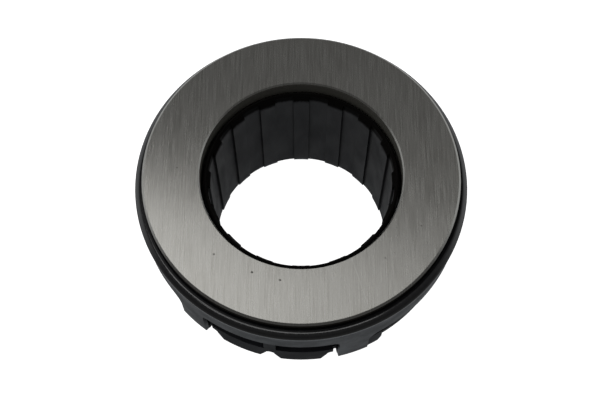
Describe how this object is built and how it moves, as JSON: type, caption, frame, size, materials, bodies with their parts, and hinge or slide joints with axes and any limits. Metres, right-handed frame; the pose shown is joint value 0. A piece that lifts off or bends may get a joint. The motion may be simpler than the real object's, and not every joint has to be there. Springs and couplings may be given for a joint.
{
  "type": "clutch release thrust ball bearing",
  "caption": "Angular contact thrust ball bearing with a flat spinning face, in a toothed steel casing that centres itself on a fluted plastic guide sleeve.",
  "frame": {"origin": "centre of the guide sleeve's lower end face, on the bearing axis", "axes": "+Z along the bearing axis towards the flat thrust face; the middles of the two fork lugs lie on -Y and +Y"},
  "size_m": [0.0802, 0.0802, 0.0382],
  "materials": {
    "ground_face_steel": "straight-ground, lightly oiled",
    "bearing_steel": "turned and hardened, oiled",
    "ball_steel": "polished",
    "spring_steel": "tempered blue-grey",
    "cage_polymer": "glass-filled moulding",
    "seal_rubber": "moulded, greasy",
    "blackened_steel": "phosphated black, oiled sheen",
    "sleeve_plastic": "glass-filled black moulding"
  },
  "bodies": {
    "sleeve": {"guide_sleeve": "sleeve_plastic"},
    "spring_stack": {"wave_spring": "spring_steel", "support_washer": "spring_steel"},
    "bearing_core": {"casing": "blackened_steel", "outer_race": "bearing_steel", "upper_seal": "seal_rubber", "lower_seal": "seal_rubber"},
    "spinning_ring": {"thrust_ring": "ground_face_steel"},
    "cage": {"ball_cage": "cage_polymer"},
    "ball_01_body": {"ball_01": "ball_steel"},
    "ball_02_body": {"ball_02": "ball_steel"},
    "ball_03_body": {"ball_03": "ball_steel"},
    "ball_04_body": {"ball_04": "ball_steel"},
    "ball_05_body": {"ball_05": "ball_steel"},
    "ball_06_body": {"ball_06": "ball_steel"},
    "ball_07_body": {"ball_07": "ball_steel"},
    "ball_08_body": {"ball_08": "ball_steel"},
    "ball_09_body": {"ball_09": "ball_steel"},
    "ball_10_body": {"ball_10": "ball_steel"},
    "ball_11_body": {"ball_11": "ball_steel"},
    "ball_12_body": {"ball_12": "ball_steel"},
    "ball_13_body": {"ball_13": "ball_steel"},
    "ball_14_body": {"ball_14": "ball_steel"},
    "ball_15_body": {"ball_15": "ball_steel"},
    "ball_16_body": {"ball_16": "ball_steel"},
    "ball_17_body": {"ball_17": "ball_steel"},
    "ball_18_body": {"ball_18": "ball_steel"},
    "ball_19_body": {"ball_19": "ball_steel"},
    "ball_20_body": {"ball_20": "ball_steel"}
  },
  "joints": [
    {"name": "float_sideways", "type": "slide", "parent": "sleeve", "child": "spring_stack", "axis": [1, 0, 0], "range_m": [-0.0005, 0.0005]},
    {"name": "float_lengthways", "type": "slide", "parent": "spring_stack", "child": "bearing_core", "axis": [0, 1, 0], "range_m": [-0.0005, 0.0005]},
    {"name": "ring_spin", "type": "hinge", "parent": "bearing_core", "child": "spinning_ring", "pos_m": [0, 0, 0.0382], "axis": [0, 0, 1], "continuous": true},
    {"name": "cage_spin", "type": "hinge", "parent": "bearing_core", "child": "cage", "pos_m": [0, 0, 0.0304], "axis": [0, 0, 1], "continuous": true},
    {"name": "ball_01_spin", "type": "hinge", "parent": "cage", "child": "ball_01_body", "pos_m": [0, -0.031, 0.0304], "axis": [0, -0.7071, 0.7071], "continuous": true},
    {"name": "ball_02_spin", "type": "hinge", "parent": "cage", "child": "ball_02_body", "pos_m": [0.00958, -0.02948, 0.0304], "axis": [0.2185, -0.6725, 0.7071], "continuous": true},
    {"name": "ball_03_spin", "type": "hinge", "parent": "cage", "child": "ball_03_body", "pos_m": [0.01822, -0.02508, 0.0304], "axis": [0.4156, -0.5721, 0.7071], "continuous": true},
    {"name": "ball_04_spin", "type": "hinge", "parent": "cage", "child": "ball_04_body", "pos_m": [0.02508, -0.01822, 0.0304], "axis": [0.5721, -0.4156, 0.7071], "continuous": true},
    {"name": "ball_05_spin", "type": "hinge", "parent": "cage", "child": "ball_05_body", "pos_m": [0.02948, -0.00958, 0.0304], "axis": [0.6725, -0.2185, 0.7071], "continuous": true},
    {"name": "ball_06_spin", "type": "hinge", "parent": "cage", "child": "ball_06_body", "pos_m": [0.031, 0, 0.0304], "axis": [0.7071, 0, 0.7071], "continuous": true},
    {"name": "ball_07_spin", "type": "hinge", "parent": "cage", "child": "ball_07_body", "pos_m": [0.02948, 0.00958, 0.0304], "axis": [0.6725, 0.2185, 0.7071], "continuous": true},
    {"name": "ball_08_spin", "type": "hinge", "parent": "cage", "child": "ball_08_body", "pos_m": [0.02508, 0.01822, 0.0304], "axis": [0.5721, 0.4156, 0.7071], "continuous": true},
    {"name": "ball_09_spin", "type": "hinge", "parent": "cage", "child": "ball_09_body", "pos_m": [0.01822, 0.02508, 0.0304], "axis": [0.4156, 0.5721, 0.7071], "continuous": true},
    {"name": "ball_10_spin", "type": "hinge", "parent": "cage", "child": "ball_10_body", "pos_m": [0.00958, 0.02948, 0.0304], "axis": [0.2185, 0.6725, 0.7071], "continuous": true},
    {"name": "ball_11_spin", "type": "hinge", "parent": "cage", "child": "ball_11_body", "pos_m": [0, 0.031, 0.0304], "axis": [0, 0.7071, 0.7071], "continuous": true},
    {"name": "ball_12_spin", "type": "hinge", "parent": "cage", "child": "ball_12_body", "pos_m": [-0.00958, 0.02948, 0.0304], "axis": [-0.2185, 0.6725, 0.7071], "continuous": true},
    {"name": "ball_13_spin", "type": "hinge", "parent": "cage", "child": "ball_13_body", "pos_m": [-0.01822, 0.02508, 0.0304], "axis": [-0.4156, 0.5721, 0.7071], "continuous": true},
    {"name": "ball_14_spin", "type": "hinge", "parent": "cage", "child": "ball_14_body", "pos_m": [-0.02508, 0.01822, 0.0304], "axis": [-0.5721, 0.4156, 0.7071], "continuous": true},
    {"name": "ball_15_spin", "type": "hinge", "parent": "cage", "child": "ball_15_body", "pos_m": [-0.02948, 0.00958, 0.0304], "axis": [-0.6725, 0.2185, 0.7071], "continuous": true},
    {"name": "ball_16_spin", "type": "hinge", "parent": "cage", "child": "ball_16_body", "pos_m": [-0.031, 0, 0.0304], "axis": [-0.7071, 0, 0.7071], "continuous": true},
    {"name": "ball_17_spin", "type": "hinge", "parent": "cage", "child": "ball_17_body", "pos_m": [-0.02948, -0.00958, 0.0304], "axis": [-0.6725, -0.2185, 0.7071], "continuous": true},
    {"name": "ball_18_spin", "type": "hinge", "parent": "cage", "child": "ball_18_body", "pos_m": [-0.02508, -0.01822, 0.0304], "axis": [-0.5721, -0.4156, 0.7071], "continuous": true},
    {"name": "ball_19_spin", "type": "hinge", "parent": "cage", "child": "ball_19_body", "pos_m": [-0.01822, -0.02508, 0.0304], "axis": [-0.4156, -0.5721, 0.7071], "continuous": true},
    {"name": "ball_20_spin", "type": "hinge", "parent": "cage", "child": "ball_20_body", "pos_m": [-0.00958, -0.02948, 0.0304], "axis": [-0.2185, -0.6725, 0.7071], "continuous": true}
  ],
  "couplings": [
    {"joint": "cage_spin", "follows": "ring_spin", "ratio": 0.45926},
    {"joint": "ball_01_spin", "follows": "ring_spin", "ratio": -4.3105},
    {"joint": "ball_02_spin", "follows": "ring_spin", "ratio": -4.3105},
    {"joint": "ball_03_spin", "follows": "ring_spin", "ratio": -4.3105},
    {"joint": "ball_04_spin", "follows": "ring_spin", "ratio": -4.3105},
    {"joint": "ball_05_spin", "follows": "ring_spin", "ratio": -4.3105},
    {"joint": "ball_06_spin", "follows": "ring_spin", "ratio": -4.3105},
    {"joint": "ball_07_spin", "follows": "ring_spin", "ratio": -4.3105},
    {"joint": "ball_08_spin", "follows": "ring_spin", "ratio": -4.3105},
    {"joint": "ball_09_spin", "follows": "ring_spin", "ratio": -4.3105},
    {"joint": "ball_10_spin", "follows": "ring_spin", "ratio": -4.3105},
    {"joint": "ball_11_spin", "follows": "ring_spin", "ratio": -4.3105},
    {"joint": "ball_12_spin", "follows": "ring_spin", "ratio": -4.3105},
    {"joint": "ball_13_spin", "follows": "ring_spin", "ratio": -4.3105},
    {"joint": "ball_14_spin", "follows": "ring_spin", "ratio": -4.3105},
    {"joint": "ball_15_spin", "follows": "ring_spin", "ratio": -4.3105},
    {"joint": "ball_16_spin", "follows": "ring_spin", "ratio": -4.3105},
    {"joint": "ball_17_spin", "follows": "ring_spin", "ratio": -4.3105},
    {"joint": "ball_18_spin", "follows": "ring_spin", "ratio": -4.3105},
    {"joint": "ball_19_spin", "follows": "ring_spin", "ratio": -4.3105},
    {"joint": "ball_20_spin", "follows": "ring_spin", "ratio": -4.3105}
  ]
}
